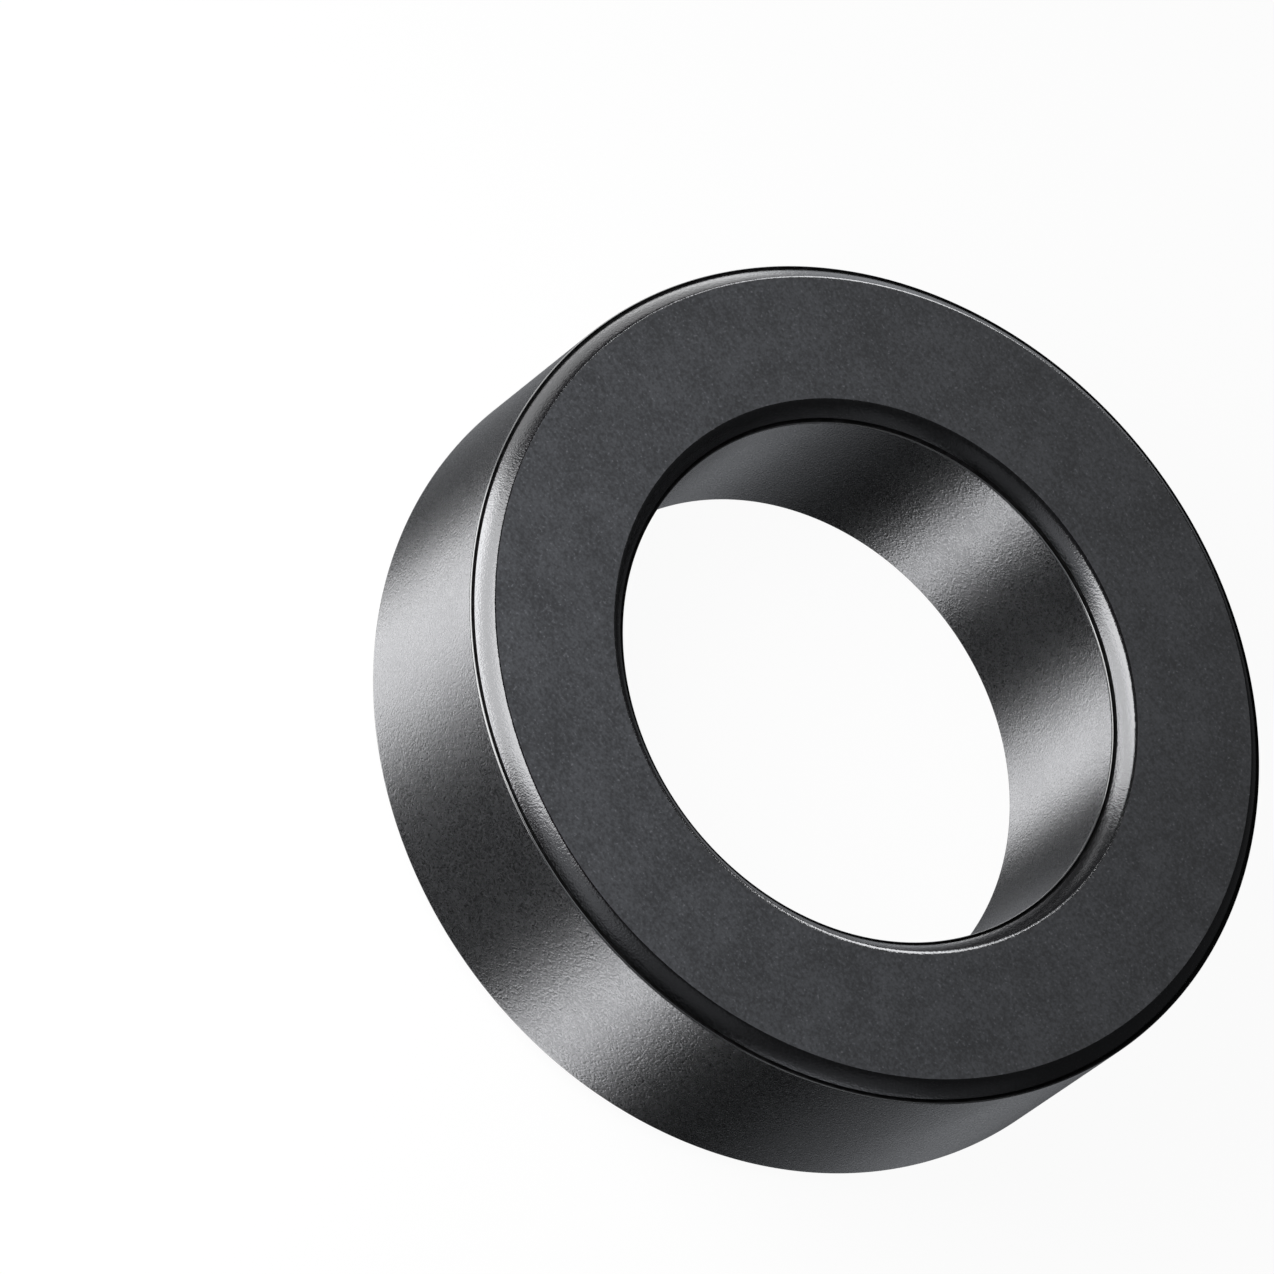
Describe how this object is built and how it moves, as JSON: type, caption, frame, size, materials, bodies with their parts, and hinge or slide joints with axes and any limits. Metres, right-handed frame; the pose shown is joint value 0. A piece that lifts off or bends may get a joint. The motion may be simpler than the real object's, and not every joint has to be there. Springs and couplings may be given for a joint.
{
  "type": "ferrite toroid core",
  "caption": "Flat ring core of pressed and fired dark ferrite, with a wide through-hole for a winding, flat ground faces and bevelled, grooved rims.",
  "frame": {"origin": "centre of the ground face that the ring lies on, on the ring's axis", "axes": "+Z along the ring's axis, up out of the bore; X and Y lie in the face, and every direction in it is alike"},
  "size_m": [0.042, 0.042, 0.012],
  "materials": {
    "ferrite": "near-black fired ferrite: matte ground faces, satin pressed walls and bevels with a fine sand grain"
  },
  "bodies": {
    "root": {"ferrite_core": "ferrite"}
  },
  "joints": []
}
